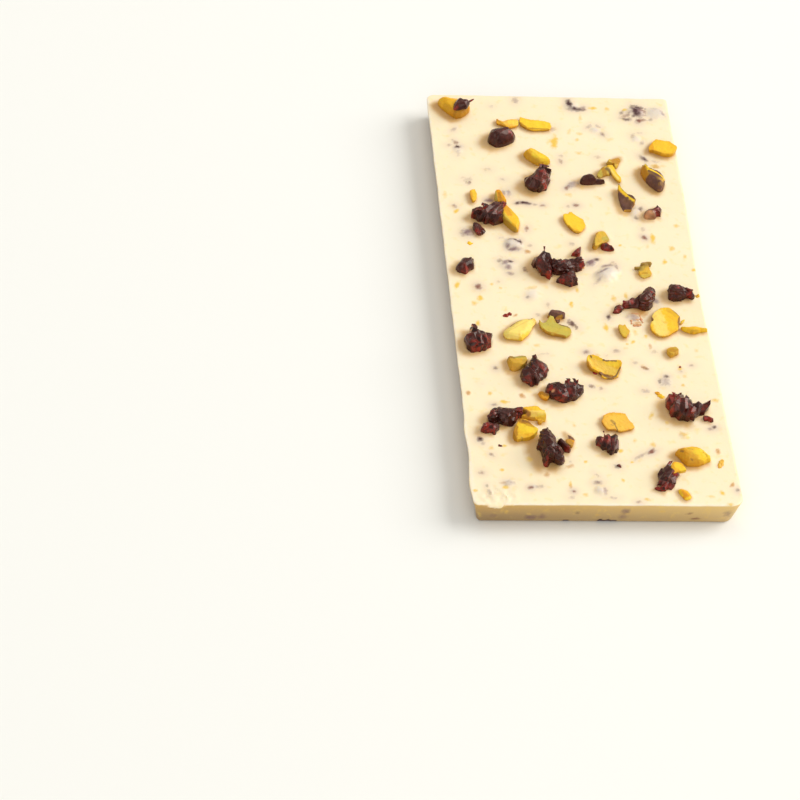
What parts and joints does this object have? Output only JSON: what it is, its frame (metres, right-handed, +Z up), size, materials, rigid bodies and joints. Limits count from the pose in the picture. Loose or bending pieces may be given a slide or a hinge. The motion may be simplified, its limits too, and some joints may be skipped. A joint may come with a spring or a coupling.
{
  "type": "white chocolate bar",
  "caption": "Flat oblong bar of cast white chocolate, its poured face strewn with torn dried cranberries and broken pistachio kernels, for eating or for breaking into pieces.",
  "frame": {"origin": "centre of the foot, on the plane that the bar rests on", "axes": "+Y along the bar's length, +X across its width, +Z up out of the poured, strewn face"},
  "size_m": [0.0729, 0.1658, 0.013],
  "materials": {
    "white_chocolate": null,
    "cranberry": null,
    "kernel": null,
    "green": null,
    "skin": null
  },
  "bodies": {
    "root": {"slab": "white_chocolate", "cranberry_01": "cranberry", "cranberry_02": "cranberry", "cranberry_03": "cranberry", "cranberry_04": "cranberry", "cranberry_05": "cranberry", "cranberry_06": "cranberry", "cranberry_07": "cranberry", "cranberry_08": "cranberry", "cranberry_09": "cranberry", "cranberry_10": "cranberry", "cranberry_11": "cranberry", "cranberry_12": "cranberry", "cranberry_13": "cranberry", "cranberry_14": "cranberry", "cranberry_15": "cranberry", "cranberry_16": "cranberry", "cranberry_17": "cranberry", "cranberry_18": "cranberry", "cranberry_19": "cranberry", "cranberry_20": "cranberry", "cranberry_21": "cranberry", "cranberry_22": "cranberry", "cranberry_23": "cranberry", "cranberry_24": "cranberry", "cranberry_25": "cranberry", "pistachio_01": "kernel", "pistachio_02": "kernel", "pistachio_03": "kernel", "pistachio_04": "kernel", "pistachio_05": "kernel", "pistachio_06": "kernel", "pistachio_07": "kernel", "pistachio_08": "kernel", "pistachio_09": "skin", "pistachio_10": "skin", "pistachio_11": "kernel", "pistachio_12": "kernel", "pistachio_13": "kernel", "pistachio_14": "kernel", "pistachio_15": "kernel", "pistachio_16": "green", "pistachio_17": "kernel", "pistachio_18": "kernel", "pistachio_19": "kernel", "pistachio_20": "kernel", "pistachio_21": "kernel", "pistachio_22": "green", "pistachio_23": "skin", "pistachio_24": "kernel", "pistachio_25": "kernel", "pistachio_26": "kernel", "pistachio_27": "kernel", "pistachio_28": "kernel", "pistachio_29": "skin", "pistachio_30": "kernel", "pistachio_31": "kernel", "pistachio_32": "kernel", "pistachio_33": "kernel"}
  },
  "joints": []
}
